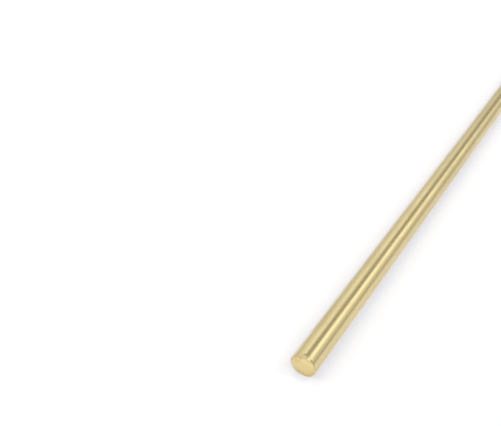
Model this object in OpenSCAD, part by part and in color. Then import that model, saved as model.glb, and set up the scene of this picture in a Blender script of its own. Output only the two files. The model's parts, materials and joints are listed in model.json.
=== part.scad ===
// Round brass rod, drawn to size and cropped to length in a bar shear.
// The origin is the centre of the rod, on its axis. +X runs along the rod and +Z is up.
// Each end shows what the shear did there. The blade that passed the end rolled its edge
// over, sheared a smooth band below it and broke the rest away, and the blade that carried
// the rod pressed a flat into the other side and left a burr on the flat's edge.

/* [Stock] */
// Diameter of the drawn rod, sold as 1/8 in
rod_d = 3.175; // [2.5:0.005:12.7]
// Length that the rod is sold in, 12 in
rod_l = 304.8; // [60:0.1:1000]

/* [Rolled edge] */
// Turn of the shear's stroke about the rod, away from straight up
crop_turn = 18; // [0:1:359]
// Length of the edge that the passing blade rolled over
roll_l = 0.5; // [0.2:0.01:0.8]
// Drop of the rolled edge at the face
roll_drop = 0.22; // [0.05:0.01:0.3]
// How far under the rod's axis the rolled edge is centred, which makes it a crescent
roll_set = 0.8; // [0.5:0.1:6]

/* [Face] */
// Height of the smooth sheared band, below the rolled edge
band_h = 0.8; // [0.2:0.05:1.2]
// How far the broken face falls back behind the band
break_fall = 0.08; // [0.04:0.01:0.3]

/* [Flat and burr] */
// Length of the flat that the carrying blade pressed in, from the band's plane
flat_l = 1.1; // [0.7:0.05:2]
// Depth of the flat where it meets the burr
flat_drop = 0.08; // [0.06:0.01:0.2]
// Height of the burr above the flat
burr_h = 0.04; // [0.02:0.01:0.05]
// Thickness of the burr along the rod
burr_t = 0.06; // [0.04:0.01:0.12]

/* [Hidden] */
$fn = 128;

rod_r = rod_d / 2;

// How far the cuts reach out of the rod, past its face and its sides
spare = 1;

// The arc of the rolled edge is a little flatter than one that is tangent to the rod,
// so it starts with a faint line, as the real one does
roll_ease = 1.4;
roll_r = roll_ease * (roll_l ^ 2 + roll_drop ^ 2) / (2 * roll_drop);

// The broken face is an S of two equal arcs, full below the band and hollow above the flat
band_foot = rod_r - roll_drop - band_h;
break_h = band_foot + rod_r;
break_mid = band_foot - break_h / 2;
break_r = (break_h ^ 2 + break_fall ^ 2) / (4 * break_fall);

// Centre of the arc of radius r that rises above the line from p to q
function arc_centre(p, q, r) =
    let (half = norm(q - p) / 2, run = (q - p) / (2 * half))
    (p + q) / 2 - sqrt(r ^ 2 - half ^ 2) * [-run[1], run[0]];

// The next three modules and crop() have the band's plane at x = 0, the rod towards +x
// and the rolled edge on top

// Outside the rolled edge: its arc, turned about a line that lies under the rod's axis
module roll_cut() {
    crown = rod_r + roll_set;
    translate([0, 0, -roll_set])
        rotate([0, 90, 0])
            rotate_extrude()
                difference() {
                    translate([crown - roll_drop, -spare])
                        square([roll_drop + spare, spare + roll_l]);
                    translate(arc_centre([crown, roll_l], [crown - roll_drop, 0], roll_r))
                        circle(r = roll_r);
                }
}

// Side view of what lies in front of the broken face, from the foot of the band down
module break_cut() {
    difference() {
        translate([-spare, break_mid])
            square([spare + break_fall / 2, break_h / 2]);
        translate([break_r, band_foot])
            circle(r = break_r);
    }
    intersection() {
        translate([-spare, -rod_r])
            square([spare + break_fall, break_h / 2]);
        translate([break_fall - break_r, -rod_r])
            circle(r = break_r);
    }
}

// Side view of what lies under the flat, which deepens up to the back of the burr
module flat_cut() {
    burr_back = break_fall + burr_t;
    polygon([
        [flat_l, -rod_r],
        [burr_back, flat_drop - rod_r],
        [burr_back, flat_drop - burr_h - rod_r],
        [-spare, flat_drop - burr_h - rod_r],
        [-spare, -rod_r - spare],
        [flat_l, -rod_r - spare],
    ]);
}

// All that the shear takes from one end
module crop() {
    roll_cut();
    rotate([90, 0, 0])
        linear_extrude(height = rod_d + 2 * spare, center = true) {
            break_cut();
            flat_cut();
        }
}

// The cut at one end leaves the mating half of the break on the next rod,
// so the far end is the near end turned over
module rod() {
    color([0.80, 0.68, 0.40])
        rotate([crop_turn, 0, 0])
            difference() {
                rotate([0, 90, 0])
                    cylinder(d = rod_d, h = rod_l, center = true);
                for (turn = [0, 180])
                    rotate([0, turn, 0])
                        translate([-rod_l / 2, 0, 0])
                            crop();
            }
}

rod();
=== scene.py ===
# %% [markdown]
# # A brass rod, cropped in a shear
#
# The real object is one piece of drawn round bar. A die has left faint lines along it, and
# a bar shear has cropped it to length, so each end has a rolled edge, a smooth sheared band,
# a rough broken face, and a flat with a small burr on the far side of the stroke.
#
# A plain cylinder would have the right size and none of that. Here the rod is a fine
# cylinder, and every feature of its ends is cut by a tool shaped like what the shear took
# away. All of it is modelled in millimetres and brought down to metres once, at the end.

# %% The frame
import json
import math

import bmesh
import bpy
from mathutils import Matrix, Vector


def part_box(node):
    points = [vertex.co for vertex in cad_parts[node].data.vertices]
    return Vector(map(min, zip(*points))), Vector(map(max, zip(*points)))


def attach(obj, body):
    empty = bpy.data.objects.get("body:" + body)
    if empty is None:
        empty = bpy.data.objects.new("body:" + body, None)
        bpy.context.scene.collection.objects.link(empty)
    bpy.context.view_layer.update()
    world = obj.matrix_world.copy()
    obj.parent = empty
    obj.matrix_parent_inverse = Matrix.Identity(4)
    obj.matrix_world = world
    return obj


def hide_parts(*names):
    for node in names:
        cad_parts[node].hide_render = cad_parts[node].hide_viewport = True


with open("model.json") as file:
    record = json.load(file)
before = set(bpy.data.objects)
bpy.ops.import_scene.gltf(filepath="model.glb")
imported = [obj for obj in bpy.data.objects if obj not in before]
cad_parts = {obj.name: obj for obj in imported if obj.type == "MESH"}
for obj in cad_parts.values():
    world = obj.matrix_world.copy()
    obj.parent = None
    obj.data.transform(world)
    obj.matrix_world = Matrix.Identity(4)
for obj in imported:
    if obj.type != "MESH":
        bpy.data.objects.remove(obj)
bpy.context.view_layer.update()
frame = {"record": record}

MM = 0.001
shank = next(mount for mount in frame["record"]["mounts"] if mount["name"] == "shank")
rod_r = shank["dims"]["r_mm"]
rod_low, rod_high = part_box("rod")
rod_l = (rod_high.x - rod_low.x) / MM
print(f"rod {2 * rod_r:.4f} mm across, {rod_l:.2f} mm long")

# %% [markdown]
# ## Camera
#
# The camera comes first, because it tells which side of the rod needs the most care. It
# looks along the rod and down on it from just behind the near end, so that the rod leaves
# the frame at the top right. Its place is worked out from how fast the rod narrows with
# distance, and from the shape of the ellipse that its end makes.

# %% Camera
camera_place = (-201.42, -23.32, 57.89)  # mm
camera_yaw = 31.66  # degrees, from +X towards +Y
camera_pitch = 34.45  # degrees below level
camera_lens = 49.34  # mm, on a 36 mm sensor

bpy.ops.object.camera_add(
    location=Vector(camera_place) * MM,
    rotation=(math.radians(90 - camera_pitch), 0, math.radians(camera_yaw - 90)),
)
camera = bpy.context.object
camera.name = "camera"
camera.data.sensor_width = 36
camera.data.lens = camera_lens
camera.data.clip_start = 0.001
camera.data.clip_end = 50
bpy.context.scene.camera = camera
near_end = Vector((-rod_l / 2, 0, 0))
print(f"camera {(Vector(camera_place) - near_end).length:.1f} mm from the near end")

# %% [markdown]
# ## Sizes of a cropped end
#
# These are in millimetres. They're measured on an end whose face is at x = 0, with the rod
# towards +x and the rolled edge on top, which is how each cutter is modelled.

# %% Sizes
crop_turn = 18  # degrees that the stroke leans about the rod
roll_l = 0.5  # length of the rolled edge
roll_drop = 0.22  # its drop at the face
roll_set = 0.8  # how far under the rod's axis it is centred
band_h = 0.8  # height of the smooth sheared band
break_fall = 0.08  # how far the broken face falls back
flat_l = 1.1  # length of the flat, from the band's plane
flat_drop = 0.08  # its depth at the burr
burr_h = 0.04  # height of the burr above the flat
burr_t = 0.06  # its thickness along the rod

spare = 1.0  # how far a cutter reaches out of the rod

band_foot = rod_r - roll_drop - band_h
break_h = band_foot + rod_r
break_r = (break_h**2 + break_fall**2) / (4 * break_fall)
print(f"band {band_h:.2f} mm high, break {break_h:.2f} mm high")

# %% [markdown]
# ## Helpers
#
# An operator acts on all that is selected, so each step starts by selecting only what it
# works on. These few helpers do that, and finish what a step began.

# %% Editing helpers
def only(piece):
    """Selects this piece and nothing else, and makes it the active one."""
    bpy.ops.object.select_all(action="DESELECT")
    piece.select_set(True)
    bpy.context.view_layer.objects.active = piece


def edit(piece):
    """Opens a piece in edit mode with everything selected."""
    only(piece)
    bpy.ops.object.mode_set(mode="EDIT")
    bpy.ops.mesh.select_mode(type="VERT")
    bpy.ops.mesh.select_all(action="SELECT")


def done():
    bpy.ops.object.mode_set(mode="OBJECT")


def close_doubles():
    """Merges what lies in the same place, turns the faces outwards and leaves all selected."""
    bpy.ops.mesh.select_all(action="SELECT")
    bpy.ops.mesh.remove_doubles(threshold=1e-4)
    bpy.ops.mesh.normals_make_consistent(inside=False)


def finish_modifier(piece, modifier):
    only(piece)
    bpy.ops.object.modifier_apply(modifier=modifier.name)


def count(piece):
    return f"{piece.name}: {len(piece.data.vertices)} vertices, {len(piece.data.polygons)} faces"

# %% [markdown]
# ## Drawing a profile
#
# A profile could be typed in as a list of points, but then nobody could see where they come
# from. Here it is drawn as a modeller draws it: start from one vertex, extrude it along a
# line, and spin it round a centre for an arc. A primitive plane merged at its centre gives
# that first vertex.

# %% Drawing helpers
def pen(name, x, y, z):
    """A new piece in edit mode, with a single vertex at x, y, z."""
    bpy.ops.object.select_all(action="DESELECT")
    bpy.ops.mesh.primitive_plane_add(size=0.1)
    piece = bpy.context.object
    piece.name = name
    edit(piece)
    bpy.ops.mesh.merge(type="CENTER")
    bpy.ops.transform.translate(value=(x, y, z))
    return piece


def line(dx, dz, parts=1):
    """Extrudes the selected vertex along the side view, in equal parts."""
    for _ in range(parts):
        bpy.ops.mesh.extrude_region_move(TRANSFORM_OT_translate={"value": (dx / parts, 0, dz / parts)})


def arc(centre, turn, parts):
    """Spins the selected vertex clockwise about a centre in the side view, which has +x to the right."""
    bpy.ops.mesh.spin(steps=parts, angle=turn, center=(centre[0], 0, centre[1]), axis=(0, -1, 0))

# %% [markdown]
# ## Materials
#
# Brass is a metal, so its colour is the colour of its reflections. What tells drawn stock
# from a polished ornament is how those reflections are broken up: lines from the die, patches
# of tarnish, and the grain of the torn face. Each of these is used on more than one surface,
# so each is a node group, placed with its own values.

# %% Node helpers
def make(tree, kind, **settings):
    """Adds a node. A setting named after an input sets it, and any other sets a property."""
    node = tree.nodes.new("ShaderNode" + kind)
    for name, value in settings.items():
        label = name.replace("_", " ").title()
        if label in node.inputs:
            node.inputs[label].default_value = value
        else:
            setattr(node, name, value)
    return node


def join(tree, source, target):
    tree.links.new(source, target)


def one_over(tree, size):
    """A socket with one over another, which turns a size in mm into a texture's scale."""
    node = make(tree, "Math", operation="DIVIDE")
    node.inputs[0].default_value = 1.0
    join(tree, size, node.inputs[1])
    return node.outputs[0]


def times(tree, one, other):
    """A socket with the product of a socket and another one or a number."""
    node = make(tree, "Math", operation="MULTIPLY")
    join(tree, one, node.inputs[0])
    if isinstance(other, bpy.types.NodeSocket):
        join(tree, other, node.inputs[1])
    else:
        node.inputs[1].default_value = other
    return node.outputs[0]


def blend_in(tree, base, extra, share):
    """A socket with a base and a share of something extra."""
    node = make(tree, "Math", operation="MULTIPLY_ADD")
    node.inputs[1].default_value = share
    join(tree, extra, node.inputs[0])
    join(tree, base, node.inputs[2])
    return node.outputs[0]

# %% Group helpers
def group(name, inputs, outputs):
    """An empty node group with these sockets, and its input and output nodes."""
    tree = bpy.data.node_groups.new(name, "ShaderNodeTree")
    for label, (kind, value) in inputs.items():
        socket = tree.interface.new_socket(label, in_out="INPUT", socket_type="NodeSocket" + kind)
        if value is not None:
            socket.default_value = value
    for label in outputs:
        tree.interface.new_socket(label, in_out="OUTPUT", socket_type="NodeSocketFloat")
    return tree, tree.nodes.new("NodeGroupInput"), tree.nodes.new("NodeGroupOutput")


def place_group(tree, made, vector, **settings):
    """Places a group in a material, on this vector and with its own values."""
    node = tree.nodes.new("ShaderNodeGroup")
    node.node_tree = made
    for name, value in settings.items():
        node.inputs[name.title()].default_value = value
    join(tree, vector, node.inputs["Vector"])
    return node

# %% [markdown]
# ### Tool lines
#
# A die, a blade or a carrying edge leaves lines along its own way. A wave texture would make
# them all alike. Noise that is drawn out along one axis gives lines of uneven width that
# start and stop, and two sizes of it together look like worn tooling.

# %% Tool lines
finer = 4.3  # how many times closer the fine lines are


def tool_lines_group():
    """Lines along the vector's x, Pitch apart and Run times as long as they're wide."""
    tree, given, result = group(
        "tool lines",
        {"Vector": ("Vector", None), "Pitch": ("Float", 0.2), "Run": ("Float", 40.0)},
        ["Coarse", "Fine"],
    )
    scale = make(tree, "CombineXYZ", Y=1.0, Z=1.0)
    join(tree, one_over(tree, given.outputs["Run"]), scale.inputs["X"])
    stretch = make(tree, "VectorMath", operation="MULTIPLY")
    join(tree, given.outputs["Vector"], stretch.inputs[0])
    join(tree, scale.outputs[0], stretch.inputs[1])
    coarse = one_over(tree, given.outputs["Pitch"])
    for label, size in (("Coarse", coarse), ("Fine", times(tree, coarse, finer))):
        noise = make(tree, "TexNoise", Detail=3.0, Roughness=0.6)
        join(tree, stretch.outputs[0], noise.inputs["Vector"])
        join(tree, size, noise.inputs["Scale"])
        contrast = make(tree, "MapRange", From_Min=0.3, From_Max=0.7)
        join(tree, noise.outputs["Fac"], contrast.inputs["Value"])
        join(tree, contrast.outputs["Result"], result.inputs[label])
    return tree


tool_lines = tool_lines_group()
print(tool_lines.name, len(tool_lines.nodes), "nodes")

# %% [markdown]
# ### Tarnish
#
# Brass that has been handled goes dull in soft patches. Plain noise would dull it evenly, so
# the noise is cut off at both sides, which leaves clean brass, dull brass and a ragged edge
# between them.

# %% Tarnish
def tarnish_group():
    """Soft patches where handling has dulled the brass, broken up at their edges."""
    tree, given, result = group(
        "tarnish",
        {"Vector": ("Vector", None), "Patch": ("Float", 4.0), "Amount": ("Float", 0.5)},
        ["Mask"],
    )
    noise = make(tree, "TexNoise", Detail=5.0, Roughness=0.62, Distortion=0.4)
    join(tree, given.outputs["Vector"], noise.inputs["Vector"])
    join(tree, one_over(tree, given.outputs["Patch"]), noise.inputs["Scale"])
    edge = make(tree, "MapRange", interpolation_type="SMOOTHSTEP", From_Min=0.38, From_Max=0.66)
    join(tree, noise.outputs["Fac"], edge.inputs["Value"])
    mask = times(tree, edge.outputs["Result"], given.outputs["Amount"])
    join(tree, mask, result.inputs["Mask"])
    return tree


tarnish = tarnish_group()
print(tarnish.name, len(tarnish.nodes), "nodes")

# %% [markdown]
# ### Grain
#
# Where the metal tore, each crystal broke along its own plane. The coarse part of that is
# modelled further on. What is finer than a mesh can hold goes into the bump, as noise.

# %% Grain
def grain_group():
    """Fine isotropic grain, as crystals leave it on torn metal."""
    tree, given, result = group(
        "metal grain",
        {"Vector": ("Vector", None), "Size": ("Float", 0.05)},
        ["Height"],
    )
    noise = make(tree, "TexNoise", Detail=4.0, Roughness=0.7)
    join(tree, given.outputs["Vector"], noise.inputs["Vector"])
    join(tree, one_over(tree, given.outputs["Size"]), noise.inputs["Scale"])
    join(tree, noise.outputs["Fac"], result.inputs["Height"])
    return tree


grain = grain_group()
print(grain.name, len(grain.nodes), "nodes")

# %% [markdown]
# ### Rim stain and painted shade
#
# Dark brown smudges at the rim of a cut face: partly oil and dirt from the shear, partly painted
# shade for the shaded lip and rolled edge. A mask that grows towards the rim is added to noise, and only
# what comes out high is darkened.

# %% Rim stain
# The rim mask below places the painted shade and the stains together.
rim_starts = 0.45  # share of the radius where the rim begins to help
rim_help = 0.26  # what it adds to the noise at the edge


def rim_stain_and_shade_group():
    """Stains and painted shade that keep to the rim of a cut face, broken up by noise. The vector is in mm.
    """
    tree, given, result = group(
        "rim stain and shade",
        {"Vector": ("Vector", None), "Patch": ("Float", 1.0), "Amount": ("Float", 0.5)},
        ["Mask"],
    )
    across = make(tree, "VectorMath", operation="MULTIPLY")
    across.inputs[1].default_value = (0, 1, 1)
    join(tree, given.outputs["Vector"], across.inputs[0])
    radius = make(tree, "VectorMath", operation="LENGTH")
    join(tree, across.outputs[0], radius.inputs[0])
    near_rim = make(tree, "MapRange", From_Min=rim_starts * rod_r, From_Max=rod_r, To_Max=rim_help)
    join(tree, radius.outputs["Value"], near_rim.inputs["Value"])
    noise = make(tree, "TexNoise", Detail=3.0, Roughness=0.55)
    join(tree, given.outputs["Vector"], noise.inputs["Vector"])
    join(tree, one_over(tree, given.outputs["Patch"]), noise.inputs["Scale"])
    both = make(tree, "Math", operation="ADD")
    join(tree, noise.outputs["Fac"], both.inputs[0])
    join(tree, near_rim.outputs["Result"], both.inputs[1])
    edge = make(tree, "MapRange", interpolation_type="SMOOTHSTEP", From_Min=0.6, From_Max=0.86)
    join(tree, both.outputs[0], edge.inputs["Value"])
    mask = times(tree, edge.outputs["Result"], given.outputs["Amount"])
    join(tree, mask, result.inputs["Mask"])
    return tree


rim_stain_and_shade = rim_stain_and_shade_group()
print(rim_stain_and_shade.name, len(rim_stain_and_shade.nodes), "nodes")

# %% [markdown]
# ## Brass finishes
#
# All four finishes share one recipe: a clean colour and a tarnished one mixed by the tarnish
# mask, a roughness that varies with the lines and the tarnish, and a bump. They differ in the
# direction of their lines and in how much of each effect they get. Object coordinates are in
# metres, so a Mapping node turns them into millimetres and lines them up with the tool.

# %% Colour and roughness
brass_clean = (0.79, 0.66, 0.345, 1)
brass_dull = (0.70, 0.57, 0.285, 1)
# The next colour darkens the rims of the cut faces: partly real stain, partly painted shade.
brass_stain_and_shade = (0.44, 0.34, 0.16, 1)
stain_and_shade_patch = 0.8  # mm
# This shift sets where the rim's stains and painted shade fall on the two ends.
stain_and_shade_shift = (93, 0, 0)  # mm, which stretch of the noise the ends get
line_wear = 0.5  # how much the lines roughen the surface, as a share of the tarnish


def in_mm(tree, patch=(1, 1, 1), turn=(0, 0, 0), shift=(0, 0, 0)):
    """A socket with the Object coordinates in mm, or in patches of so many mm along each axis."""
    place = make(tree, "TexCoord")
    mapping = make(
        tree,
        "Mapping",
        Location=shift,
        Rotation=[math.radians(angle) for angle in turn],
        Scale=[1 / MM / size for size in patch],
    )
    join(tree, place.outputs["Object"], mapping.inputs["Vector"])
    return mapping.outputs[0]


def brass_colour(tree, worn, stain_and_shade):
    """A socket with the colour: clean, duller where it is worn, and darker where it is stained or painted
    with shade at the rim.
    """
    colour = make(tree, "MixRGB", Color1=brass_clean, Color2=brass_dull)
    join(tree, worn, colour.inputs["Fac"])
    if not stain_and_shade:
        return colour.outputs[0]
    stained_and_shaded = place_group(tree, rim_stain_and_shade, in_mm(tree, shift=stain_and_shade_shift), patch=stain_and_shade_patch, amount=stain_and_shade)
    darker = make(tree, "MixRGB", Color2=brass_stain_and_shade)
    join(tree, colour.outputs[0], darker.inputs["Color1"])
    join(tree, stained_and_shaded.outputs["Mask"], darker.inputs["Fac"])
    return darker.outputs[0]


def brass_roughness(tree, lines, worn, smooth, rough):
    """A socket with the roughness, which grows with the tarnish and less so with the lines."""
    spread = make(tree, "MapRange", To_Min=smooth, To_Max=rough)
    join(tree, blend_in(tree, worn, lines, line_wear), spread.inputs["Value"])
    return spread.outputs["Result"]

# %% Bump
grain_size = 0.05  # mm
fine_share = 0.35  # height of the fine lines, as a share of the coarse ones


def brass_bump(tree, lines, tool, line_height, grain_height):
    """A socket with the normal. The heights are in mm, and Distance turns them into metres."""
    both_lines = blend_in(tree, lines.outputs["Coarse"], lines.outputs["Fine"], fine_share)
    crystals = place_group(tree, grain, tool, size=grain_size)
    line_mm = times(tree, both_lines, line_height)
    height = blend_in(tree, line_mm, crystals.outputs["Height"], grain_height)
    bump = make(tree, "Bump", Strength=1.0, Distance=MM)
    join(tree, height, bump.inputs["Height"])
    return bump.outputs[0]

# %% Finishes
def brass(
    name,
    turn,
    pitch,
    run,
    smooth,
    rough,
    line_height,
    grain_height=0,
    dull=0.5,
    patch=(9, 3, 3),
    stain_and_shade=0,
):
    """A brass finish. turn lines the tool's lines up with local x, and heights are in mm."""
    material = bpy.data.materials.new(name)
    material.use_nodes = True
    tree = material.node_tree
    shader = tree.nodes["Principled BSDF"]
    shader.inputs["Metallic"].default_value = 1.0

    tool = in_mm(tree, turn=turn)
    lines = place_group(tree, tool_lines, tool, pitch=pitch, run=run)
    worn = place_group(tree, tarnish, in_mm(tree, patch=patch), patch=1, amount=dull).outputs["Mask"]
    roughness = brass_roughness(tree, lines.outputs["Coarse"], worn, smooth, rough)
    join(tree, brass_colour(tree, worn, stain_and_shade), shader.inputs["Base Color"])
    join(tree, roughness, shader.inputs["Roughness"])
    join(tree, brass_bump(tree, lines, tool, line_height, grain_height), shader.inputs["Normal"])
    return material


along_rod = (0, 0, 0)
across_rod = (0, 0, 90)
stroke = (-crop_turn, 90, 0)
# The sheared band and the broken face get rim stains mixed with painted shade, the band the most.
finishes = [
    brass("drawn brass", along_rod, pitch=0.22, run=60, smooth=0.24, rough=0.36, line_height=0.0016),
    brass(
        "sheared band",
        stroke,
        pitch=0.12,
        run=20,
        smooth=0.34,
        rough=0.46,
        line_height=0.004,
        grain_height=0.004,
        stain_and_shade=0.7,
    ),
    brass(
        "broken face",
        stroke,
        pitch=0.30,
        run=2,
        smooth=0.44,
        rough=0.58,
        line_height=0.002,
        grain_height=0.012,
        patch=(1, 1, 1),
        stain_and_shade=0.3,
    ),
    brass(
        "pressed flat",
        across_rod,
        pitch=0.10,
        run=20,
        smooth=0.30,
        rough=0.42,
        line_height=0.003,
        grain_height=0.001,
    ),
]
materials = {finish.name: finish for finish in finishes}
print(sorted(materials))

# %% [markdown]
# ## The stock
#
# The rod starts as a cylinder with enough sides for a clean highlight. Rings are cut close
# together near the ends, where the crop will work the metal, so that the shading of the
# worked part doesn't smear along the plain part.

# %% Stock
sides = 144
worked_l = 2.4  # length near each end that the crop may touch
ring_gap = 0.12

bpy.ops.object.select_all(action="DESELECT")
bpy.ops.mesh.primitive_cylinder_add(
    vertices=sides,
    radius=rod_r,
    depth=rod_l,
    rotation=(0, math.pi / 2, 0),
)
rod = bpy.context.object
rod.name = "brass_rod"
bpy.ops.object.transform_apply(location=False, rotation=True, scale=False)
edit(rod)
for ring in range(round(worked_l / ring_gap)):
    for end in (-1, 1):
        bpy.ops.mesh.select_all(action="SELECT")
        bpy.ops.mesh.bisect(
            plane_co=(end * (rod_l / 2 - (ring + 1) * ring_gap), 0, 0),
            plane_no=(1, 0, 0),
            threshold=1e-5,
        )
done()
print(count(rod))

# %% [markdown]
# ## The rolled edge
#
# Before a shear blade cuts, it drags the edge down with it. The mark is a crescent: deepest
# in the middle of the stroke and gone at the sides. A bevel would go all the way round. A
# ring turned about a line under the rod's axis meets the edge in just such a crescent.

# %% Rolled edge cutter
roll_ease = 1.4  # over 1, the edge starts with a faint line
roll_r = roll_ease * (roll_l**2 + roll_drop**2) / (2 * roll_drop)
roll_chord = math.hypot(roll_l, roll_drop)
roll_turn = 2 * math.asin(roll_chord / 2 / roll_r)
roll_steps = 14
ring_steps = 240


def roll_cutter():
    """The ring of waste whose inner side leaves the rolled edge."""
    rim = Vector((0, rod_r - roll_drop))
    start = Vector((roll_l, rod_r))
    along = (start - rim).normalized()
    inward = Vector((along.y, -along.x))
    centre = (rim + start) / 2 + math.sqrt(roll_r**2 - (roll_chord / 2) ** 2) * inward
    piece = pen("roll_cutter", -spare, 0, rim.y)
    line(spare, 0)
    arc(centre, roll_turn, roll_steps)
    line(0, spare)
    line(-roll_l - spare, 0)
    line(0, -roll_drop - spare)
    close_doubles()
    bpy.ops.mesh.spin(steps=ring_steps, angle=2 * math.pi, center=(0, 0, -roll_set), axis=(1, 0, 0))
    close_doubles()
    done()
    piece.data.materials.append(materials["drawn brass"])
    return piece


print(f"rolled edge: an arc of {roll_r:.2f} mm, turned {math.degrees(roll_turn):.0f} degrees")

# %% [markdown]
# ## The sheared and broken face
#
# The blade cuts a smooth band first, scored along its stroke. Then the metal tears: the face
# falls back in a shallow S, with a crystalline grain. One flat cap can't show that, and bump
# alone would leave the outline of the rim straight.
#
# So the side view is drawn once and swept across with a Screw modifier that doesn't turn.
# Displace modifiers then do what the tearing did: they make the foot of the band wander, score
# the band, and leave lumps and grain below it. The sheet is extruded into a block of waste.

# %% Tearing
tear_blend = 0.14  # height over which the band gives way to the tear
foot_wander = 0.5  # how far the band's foot wanders up and down
score_depth = 0.006
lump_depth = 0.035
grain_depth = 0.016
guide_place = Vector((0, 5, 7))  # it changes sides with the end, so that no end is like the other


def roughen(piece, side, zone, direction, strength, level, kind, size, stretch):
    """Displaces a zone of the face by a texture that is stretched along each axis."""
    bpy.ops.object.empty_add(location=side * guide_place)
    guide = bpy.context.object
    guide.scale = stretch
    texture = bpy.data.textures.new(zone, kind)
    texture.noise_scale = size
    push = piece.modifiers.new(zone, "DISPLACE")
    push.vertex_group = zone
    push.direction = direction
    push.strength = strength
    push.mid_level = level
    push.texture = texture
    push.texture_coords = "OBJECT"
    push.texture_coords_object = guide
    finish_modifier(piece, push)
    bpy.data.objects.remove(guide)
    bpy.data.textures.remove(texture)


def tear(piece, side):
    """Moves the band's foot, scores the band, and leaves lumps and grain below it."""
    roughen(piece, side, "broken", "Z", foot_wander, level=0.5, kind="CLOUDS", size=0.9, stretch=(1, 1, 40))
    roughen(piece, side, "band", "X", score_depth, level=0, kind="CLOUDS", size=0.07, stretch=(1, 1, 14))
    roughen(piece, side, "broken", "X", lump_depth, level=0, kind="CLOUDS", size=0.42, stretch=(1, 1, 0.7))
    roughen(piece, side, "broken", "X", grain_depth, level=0, kind="STUCCI", size=0.11, stretch=(1, 1, 1))


print(f"lumps {lump_depth} mm, grain {grain_depth} mm")

# %% Face cutter
cell = 0.032  # side of one square of the face's mesh
face_set = 0.004  # the face lies this far inside the end of the drawn length
sheet_half = rod_r + 0.15  # half the sheet's width
sheet_over = 0.2  # how far it reaches past the rod, above and below
break_turn = math.asin(break_h / 2 / break_r)


def part_finishes(piece):
    """Gives the band and the break each a finish and a vertex group."""
    for name in ("sheared band", "broken face"):
        piece.data.materials.append(materials[name])
    broken = piece.vertex_groups.new(name="broken")
    band = piece.vertex_groups.new(name="band")
    for vertex in piece.data.vertices:
        depth = (band_foot - vertex.co.z) / tear_blend
        torn = min(max(depth, 0), 1)
        broken.add([vertex.index], torn, "REPLACE")
        band.add([vertex.index], 1 - torn, "REPLACE")
    for face in piece.data.polygons:
        face.material_index = int(face.center.z < band_foot - tear_blend / 2)


def face_cutter(side):
    """The block of waste past the end, whose inner side leaves the band and the break."""
    piece = pen("face_cutter", face_set, -sheet_half, rod_r + sheet_over)
    line(0, band_foot - rod_r - sheet_over, parts=round((rod_r + sheet_over - band_foot) / cell))
    arc((face_set + break_r, band_foot), -break_turn, round(break_h / 2 / cell))
    arc((face_set + break_fall - break_r, -rod_r), break_turn, round(break_h / 2 / cell))
    line(0, -sheet_over, parts=round(sheet_over / cell))
    done()
    sweep = piece.modifiers.new("sweep", "SCREW")
    sweep.axis = "Y"
    sweep.angle = 0
    sweep.screw_offset = 2 * sheet_half
    sweep.steps = round(2 * sheet_half / cell)
    sweep.render_steps = sweep.steps
    finish_modifier(piece, sweep)
    part_finishes(piece)
    tear(piece, side)
    edit(piece)
    bpy.ops.mesh.extrude_region_move(TRANSFORM_OT_translate={"value": (-spare, 0, 0)})
    close_doubles()
    done()
    return piece


print(f"broken face: two arcs of {break_r:.1f} mm")

# %% [markdown]
# ## The flat and its burr
#
# On the other side of the rod the second blade only held it. It pressed a shallow flat that
# deepens towards the end, and metal squeezed past its edge stands up as a small burr. The
# cutter is a prism: its side view is drawn, filled and extruded across in short steps, so
# that the burr's lip can be made a little uneven.

# %% Flat cutter
lip_wander = 0.018  # unevenness of the burr's lip
flat_half = rod_r * 0.8  # half the cutter's width
flat_steps = 48
lip_seed = 5
same = 1e-3  # what lies closer than this is in the same place


def select_lip(piece):
    """Selects the edge that leaves the burr's lip, apart from its two ends."""
    bpy.ops.mesh.select_all(action="DESELECT")
    mesh = bmesh.from_edit_mesh(piece.data)
    for vertex in mesh.verts:
        at_lip = abs(vertex.co.z - (flat_drop - burr_h - rod_r)) < same
        vertex.select = at_lip and vertex.co.x > 0 and abs(vertex.co.y) < flat_half - same
    mesh.select_flush_mode()
    bmesh.update_edit_mesh(piece.data)


def flat_cutter(side):
    """The prism of waste under the flat, with a step that leaves the burr standing."""
    burr_back = break_fall + burr_t
    piece = pen("flat_cutter", flat_l, -flat_half, -rod_r)
    line(burr_back - flat_l, flat_drop)
    line(0, -burr_h)
    line(-spare - burr_back, 0)
    line(0, burr_h - flat_drop - spare)
    line(spare + flat_l, 0)
    line(0, spare)
    close_doubles()
    bpy.ops.mesh.edge_face_add()
    for _ in range(flat_steps):
        bpy.ops.mesh.extrude_region_move(
            TRANSFORM_OT_translate={"value": (0, 2 * flat_half / flat_steps, 0)}
        )
    close_doubles()
    select_lip(piece)
    bpy.ops.transform.vertex_random(offset=lip_wander, seed=lip_seed + side)
    done()
    piece.data.materials.append(materials["pressed flat"])
    return piece


print(f"flat {flat_l} mm long, {flat_drop} mm deep")

# %% [markdown]
# ## Cropping both ends
#
# The cutters are placed at each end in turn and taken away with Boolean modifiers. The far
# end is the near end turned over, because every cut leaves two halves of one break, and a
# length of stock gets one half of each kind. Each cutter hands its own finish to the surface
# that it leaves.

# %% Crop
def crop(end):
    """Cuts one end of the rod, which is the near one at -1 and the far one at 1."""
    lean = Matrix.Rotation(math.radians(crop_turn), 4, "X")
    over = Matrix.Rotation(0 if end < 0 else math.pi, 4, "Y")
    place = lean @ over @ Matrix.Translation((-rod_l / 2, 0, 0))
    for cutter in (roll_cutter(), face_cutter(end), flat_cutter(end)):
        cutter.matrix_world = place
        cut = rod.modifiers.new(cutter.name, "BOOLEAN")
        cut.operation = "DIFFERENCE"
        cut.solver = "MANIFOLD"
        cut.material_mode = "TRANSFER"
        cut.object = cutter
        finish_modifier(rod, cut)
        bpy.data.objects.remove(cutter)


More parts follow.
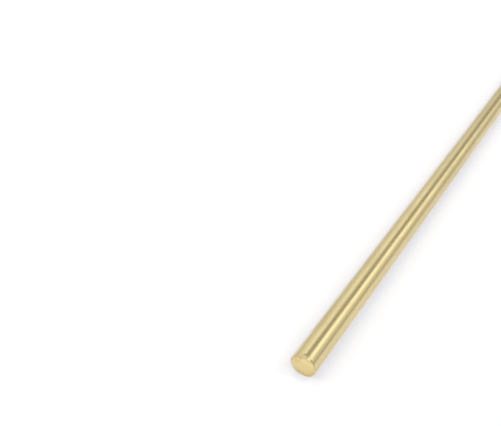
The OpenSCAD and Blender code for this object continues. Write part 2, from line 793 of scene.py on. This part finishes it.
rod.data.materials.append(materials["drawn brass"])
crop(-1)
crop(1)
print(count(rod), [slot.material.name for slot in rod.material_slots])

# %% [markdown]
# ## A map for baking
#
# The rod is a hundred times as long as it is thick, so an even unwrap would leave a few
# pixels for each end, where the detail is. This map squeezes the plain shank along its
# length and gives the room to the ends: the wall of each worked stretch becomes a strip, and
# each face a disc.

# %% Bake map
map_edge = 0.02  # these are all shares of the map's width
shank_width = 0.96
shank_height = 0.28
wall_scale = 0.073  # per mm of a worked wall
wall_foot = {-1: 0.34, 1: 0.54}
disc_scale = 0.072  # per mm of a face
disc_row = 0.86
disc_column = {(-1, True): 0.135, (1, True): 0.375, (-1, False): 0.615, (1, False): 0.855}
end_facing = 0.7  # a face whose normal has more than this along x goes on a disc


def round_angle(point):
    return math.atan2(point.y, point.z) % (2 * math.pi)


def bake_place(face, middle, point):
    """Where a corner of a face lies on the map. middle is the face's centre, and all is in mm."""
    end = -1 if middle.x < 0 else 1
    if abs(face.normal.x) > end_facing:
        outward = face.normal.x * end > 0
        return disc_column[end, outward] + disc_scale * point.y, disc_row + disc_scale * point.z
    seam = round_angle(middle)
    angle = seam + (round_angle(point) - seam + math.pi) % (2 * math.pi) - math.pi
    depth = rod_l / 2 - abs(point.x)
    if rod_l / 2 - abs(middle.x) < worked_l:
        return map_edge + wall_scale * rod_r * angle, wall_foot[end] + wall_scale * depth
    along = point.x / rod_l + 0.5
    return map_edge + shank_width * along, map_edge + shank_height * angle / (2 * math.pi)


mesh = bmesh.new()
mesh.from_mesh(rod.data)
bake_map = mesh.loops.layers.uv.new("OFBake")
for face in mesh.faces:
    middle = face.calc_center_median()
    for corner in face.loops:
        corner[bake_map].uv = bake_place(face, middle, corner.vert.co)
spots = [corner[bake_map].uv for face in mesh.faces for corner in face.loops]
print("map from", min(min(spot) for spot in spots), "to", max(max(spot) for spot in spots))
mesh.to_mesh(rod.data)
mesh.free()

# %% [markdown]
# ## To metres, and smooth
#
# The rod is scaled to metres and that scale is applied, so that it sits in the frame like a
# part of it. Then it is shaded smooth, except along edges where two finishes meet at an angle.

# %% Metres and shading
sharp_meet = math.radians(12)
sharp_any = math.radians(50)

rod.scale = (MM,) * 3
only(rod)
bpy.ops.object.transform_apply(location=False, rotation=False, scale=True)
bpy.ops.object.shade_smooth()
mesh = bmesh.new()
mesh.from_mesh(rod.data)
for edge in mesh.edges:
    if len(edge.link_faces) != 2:
        continue
    one, two = edge.link_faces
    angle = edge.calc_face_angle(0)
    meets = one.material_index != two.material_index
    edge.smooth = angle < (sharp_meet if meets else sharp_any)
open_edges = sum(not edge.is_manifold for edge in mesh.edges)
triangles = sum(len(face.verts) - 2 for face in mesh.faces)
mesh.to_mesh(rod.data)
mesh.free()
print(f"{open_edges} open edges, {triangles} triangles")

# %% [markdown]
# ## Into the frame
#
# The rod rides on the one body there is and stands for the CAD's rod.

# %% Ride
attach(rod, "root")
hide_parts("rod")
print(rod.name, "rides on the root")

# %% [markdown]
# ## Floor
#
# The rod lies on a white floor. Lit by the lights alone, the floor would be grey between
# them, so it glows a little, and more in a spot that lights the near end's face. Close to the
# rod the glow that the camera sees turns cool, which gives the rod a soft shade to lie in.

# %% Glow of the floor
front_glow = 0.46  # in the spot before the near end
floor_glow = 0.23  # everywhere else, as the rod sees it
seen_glow = 0.33  # everywhere else, as the camera sees it
spot_ahead = 5  # mm from the near end to the middle of the spot
spot_full = 3.5  # mm from its middle, where it begins to fade
spot_gone = 7.5
shade_reach = 6  # mm from the rod
shade_starts = 0.85  # share of open sky where the shade starts
shade_full = 0.55
shade_tint = (0.62, 0.73, 1, 1)


def front_spot(tree):
    """A socket with the glow of the spot, which is 0 away from it."""
    place = make(tree, "TexCoord")
    apart = make(tree, "VectorMath", operation="DISTANCE")
    apart.inputs[1].default_value = Vector((-rod_l / 2 - spot_ahead, 0, -rod_r)) * MM
    join(tree, place.outputs["Object"], apart.inputs[0])
    spot = make(tree, "MapRange", From_Min=spot_gone * MM, From_Max=spot_full * MM, To_Max=front_glow)
    join(tree, apart.outputs["Value"], spot.inputs["Value"])
    return spot.outputs["Result"]


def cool_shade(tree, seen):
    """A socket with the glow's colour: cool where the camera sees it close to the rod, else white."""
    sky = make(tree, "AmbientOcclusion", samples=16, Distance=shade_reach * MM)
    shade = make(tree, "MapRange", From_Min=shade_starts, From_Max=shade_full)
    join(tree, sky.outputs["AO"], shade.inputs["Value"])
    tint = make(tree, "MixRGB", Color1=(1, 1, 1, 1), Color2=shade_tint)
    join(tree, times(tree, shade.outputs["Result"], seen), tint.inputs["Fac"])
    return tint.outputs[0]

# %% Floor
floor_size = 3  # m
floor_white = (0.88, 0.875, 0.89, 1)


def white_floor():
    material = bpy.data.materials.new("white floor")
    material.use_nodes = True
    tree = material.node_tree
    shader = tree.nodes["Principled BSDF"]
    shader.inputs["Base Color"].default_value = floor_white
    shader.inputs["Roughness"].default_value = 0.9
    shader.inputs["Specular IOR Level"].default_value = 0.1
    seen = make(tree, "LightPath").outputs["Is Camera Ray"]
    rest = make(tree, "MapRange", To_Min=floor_glow, To_Max=seen_glow)
    join(tree, seen, rest.inputs["Value"])
    glow = make(tree, "Math", operation="MAXIMUM")
    join(tree, front_spot(tree), glow.inputs[0])
    join(tree, rest.outputs["Result"], glow.inputs[1])
    join(tree, glow.outputs[0], shader.inputs["Emission Strength"])
    join(tree, cool_shade(tree, seen), shader.inputs["Emission Color"])
    return material


bpy.ops.object.select_all(action="DESELECT")
bpy.ops.mesh.primitive_plane_add(size=floor_size, location=(0, 0, -rod_r * MM))
floor = bpy.context.object
floor.name = "floor"
bpy.ops.object.transform_apply(location=True, rotation=False, scale=False)
floor.data.materials.append(white_floor())
print("floor", floor_size, "m wide")

# %% [markdown]
# ## Light
#
# A metal rod shows its surroundings as long stripes: here a bright strip to its right, a wide
# dimmer one to its left, and the darker room between and beyond them. Small lamps would make
# short spots instead. So the lights are long boxes that run along with the rod, and each
# stripe keeps its place from one end to the other. Each side has a narrow box within a wide
# one, which gives its stripe a soft edge.
#
# A surface that leans back, as the rolled edge does, shows what is over and behind the
# camera. So those boxes stop short of the near end, and others go on from there: one makes
# the bright spot on the rolled edge, and the rest fill it with a soft light.

# %% Lights
throw = 1.6  # m from the rod to each light
ahead = (-0.2, 3.3)  # m along the rod from its middle, like the next three
far_ahead = (0.7, 3.3)
near = (-1.3, -0.2)
behind = (-4.0, -1.3)


def softbox(name, lean, width, reach, glow):
    """A long light over the rod. lean is its turn from straight up towards -Y, and width its angle."""
    start, stop = reach
    turn = math.radians(lean)
    across = 2 * throw * math.tan(math.radians(width / 2))
    bpy.ops.object.light_add(
        type="AREA",
        location=((start + stop) / 2, -throw * math.sin(turn), throw * math.cos(turn)),
        rotation=(turn, 0, 0),
    )
    light = bpy.context.object
    light.name = name
    light.data.shape = "RECTANGLE"
    light.data.size = stop - start
    light.data.size_y = across
    light.data.energy = glow * math.pi * across * (stop - start)
    light.visible_camera = False
    print(f"{name}: {light.data.size:.1f} x {across:.2f} m, {light.data.energy:.1f} W")


softbox("right softbox", 34, 28, ahead, 0.70)
softbox("wide right softbox", 48, 52, ahead, 0.40)
softbox("left softbox", -27, 37, ahead, 0.26)
softbox("wide left softbox", -48, 65, far_ahead, 0.48)
softbox("edge softbox", 25, 13, near, 1.35)
softbox("near fill", -45, 100, near, 0.50)
softbox("back fill", -39, 87, behind, 0.27)
softbox("back softbox", 34, 75, behind, 1.00)

# %% [markdown]
# ## Room
#
# Behind the floor the camera sees an almost white room. What the brass sees of it between
# the lights has to be darker, or the stripes would fade. So the two get separate backgrounds.

# %% Room
room_seen = (0.96, 0.96, 0.965, 1)
room_glow = 0.38

world = bpy.context.scene.world or bpy.data.worlds.new("room")
bpy.context.scene.world = world
world.use_nodes = True
room = world.node_tree
room.nodes.clear()
seen = make(room, "Background", Color=room_seen, Strength=1.0)
lit = make(room, "Background", Color=(1, 1, 1, 1), Strength=room_glow)
ray = make(room, "LightPath")
mix = make(room, "MixShader")
out = make(room, "OutputWorld")
join(room, ray.outputs["Is Camera Ray"], mix.inputs["Fac"])
join(room, lit.outputs[0], mix.inputs[1])
join(room, seen.outputs[0], mix.inputs[2])
join(room, mix.outputs[0], out.inputs["Surface"])
bpy.context.scene.view_settings.view_transform = "Standard"
print("room", len(room.nodes), "nodes")
